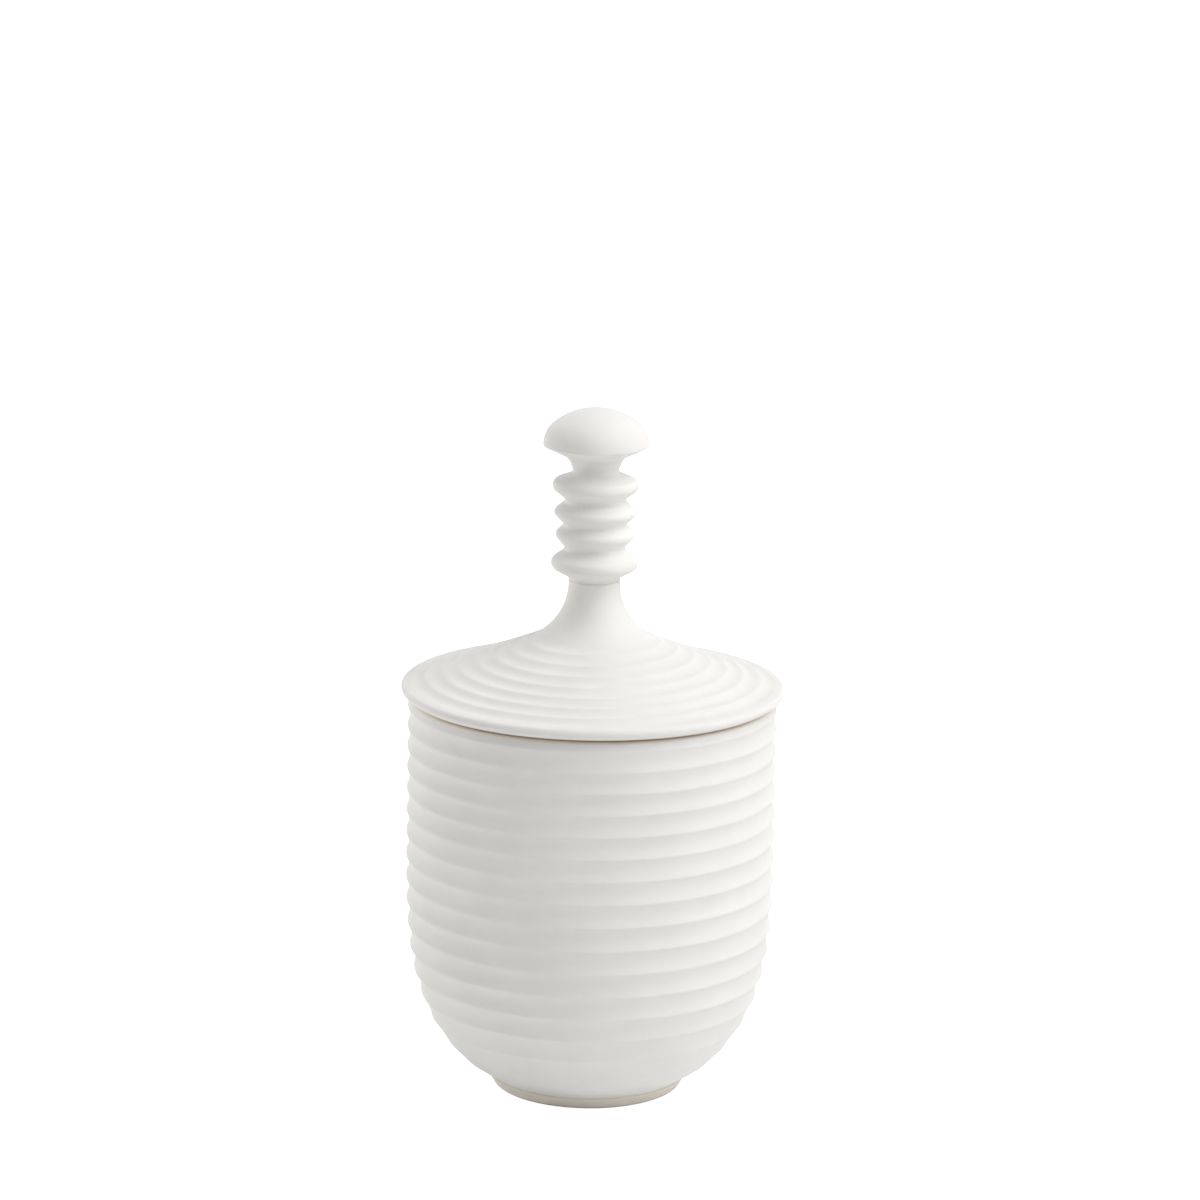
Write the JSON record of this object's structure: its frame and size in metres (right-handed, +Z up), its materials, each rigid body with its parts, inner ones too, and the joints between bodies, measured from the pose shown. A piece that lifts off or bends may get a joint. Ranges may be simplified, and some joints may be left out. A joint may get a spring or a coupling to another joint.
{
  "type": "lidded pyxis jar",
  "caption": "Round lidded pyxis with a ribbed bowl-bottomed jar, a small foot, and a ribbed domed lid with a locating flange and a tall turned finial for lifting.",
  "frame": {"origin": "centre of the foot, in the plane that the jar stands on", "axes": "+Z up along the axis that every piece is turned about"},
  "size_m": [0.1512, 0.1512, 0.2744],
  "materials": {
    "jar_body": "bare bisque, matte",
    "jar_glaze_lining": "clear gloss glaze",
    "foot_ring": "bare bisque, matte",
    "lid_plate": "bare bisque, matte",
    "lid_glaze_lining": "clear gloss glaze",
    "lid_flange": "bare bisque, matte",
    "finial": "bare bisque, matte"
  },
  "bodies": {
    "jar": {"jar_body": "jar_body", "jar_glaze_lining": "jar_glaze_lining", "foot_ring": "foot_ring"},
    "lid": {"lid_plate": "lid_plate", "lid_glaze_lining": "lid_glaze_lining", "lid_flange": "lid_flange", "finial": "finial"}
  },
  "joints": [
    {"name": "lid_lift", "type": "slide", "parent": "jar", "child": "lid", "axis": [0, 0, 1], "range_m": [0, 0.15]}
  ]
}
